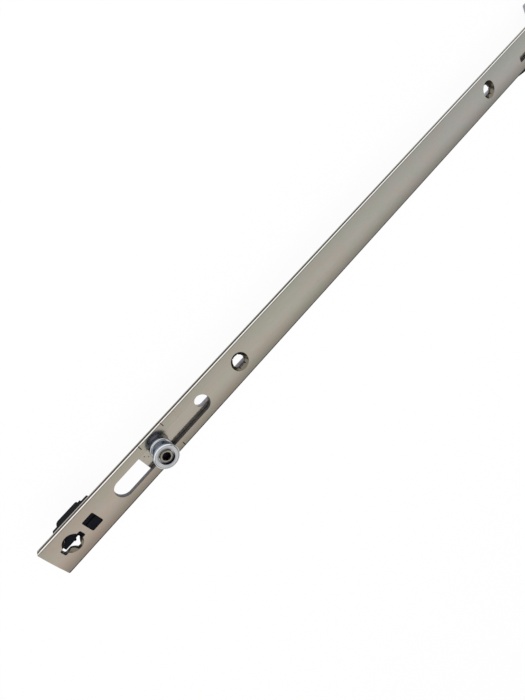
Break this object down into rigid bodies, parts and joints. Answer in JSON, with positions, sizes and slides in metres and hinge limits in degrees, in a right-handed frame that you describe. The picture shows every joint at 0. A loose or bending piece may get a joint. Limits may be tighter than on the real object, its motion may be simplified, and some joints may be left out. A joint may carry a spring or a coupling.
{
  "type": "espagnolette gearbox",
  "caption": "Window espagnolette gearbox: slotted steel faceplate, sliding drive rod with mushroom rollers and a rack, and a casing whose toothed follower takes a square handle spindle.",
  "frame": {"origin": "centre of the square spindle hole, midway between the two handle screws and at the middle of the casing's width", "axes": "+X along the faceplate to its upper end, +Y along the spindle, +Z out of the faceplate's front face, which lies at z = 15 mm"},
  "size_m": [0.82, 0.0172, 0.0378],
  "materials": {
    "zinc_plated_steel": "satin zinc-plated strip, rolled along its length",
    "rod_steel": "zinc-plated, duller than the faceplate, sheared edges",
    "turned_steel": "turned and blue-passivated",
    "bright_steel": "bright zinc-plated",
    "spring_steel": "dark tempered",
    "die_cast_zinc": "raw die-cast zinc",
    "black_plastic": "moulded, fine matt"
  },
  "bodies": {
    "frame": {"faceplate": "zinc_plated_steel", "casing_left": "die_cast_zinc", "casing_right": "die_cast_zinc", "casing_rivets": "bright_steel", "screw_sleeve_lower": "bright_steel", "screw_sleeve_upper": "bright_steel", "detent_spring": "spring_steel", "end_clip_lower": "black_plastic", "end_clip_upper": "black_plastic", "guide_stud_lower": "bright_steel", "guide_stud_upper": "bright_steel", "guide_washer_lower": "black_plastic", "guide_washer_upper": "black_plastic"},
    "rod": {"drive_rod": "rod_steel", "cam_washer_lower": "spring_steel", "cam_washer_upper": "spring_steel"},
    "follower": {"follower_gear": "die_cast_zinc"},
    "pin_lower": {"cam_pin_lower": "turned_steel"},
    "pin_upper": {"cam_pin_upper": "turned_steel"},
    "roller_lower": {"cam_roller_lower": "turned_steel"},
    "roller_upper": {"cam_roller_upper": "turned_steel"}
  },
  "joints": [
    {"name": "rod_slide", "type": "slide", "parent": "frame", "child": "rod", "axis": [1, 0, 0], "range_m": [-0.018, 0.018]},
    {"name": "handle_turn", "type": "hinge", "parent": "frame", "child": "follower", "pos_m": [0, 0, 0], "axis": [0, 1, 0], "range_deg": [-90, 90], "deforming": ["detent_spring"]},
    {"name": "cam_adjust_lower", "type": "hinge", "parent": "rod", "child": "pin_lower", "pos_m": [-0.3518, 0, 0.0125], "axis": [0, 0, 1], "range_deg": [-90, 90]},
    {"name": "cam_adjust_upper", "type": "hinge", "parent": "rod", "child": "pin_upper", "pos_m": [0.3518, 0, 0.0125], "axis": [0, 0, 1], "range_deg": [-90, 90]},
    {"name": "cam_spin_lower", "type": "hinge", "parent": "pin_lower", "child": "roller_lower", "pos_m": [-0.3526, 0, 0.0193], "axis": [0, 0, 1], "continuous": true},
    {"name": "cam_spin_upper", "type": "hinge", "parent": "pin_upper", "child": "roller_upper", "pos_m": [0.3526, 0, 0.0193], "axis": [0, 0, 1], "continuous": true}
  ],
  "couplings": [
    {"joint": "handle_turn", "follows": "rod_slide", "rad_per_m": 87.26}
  ]
}
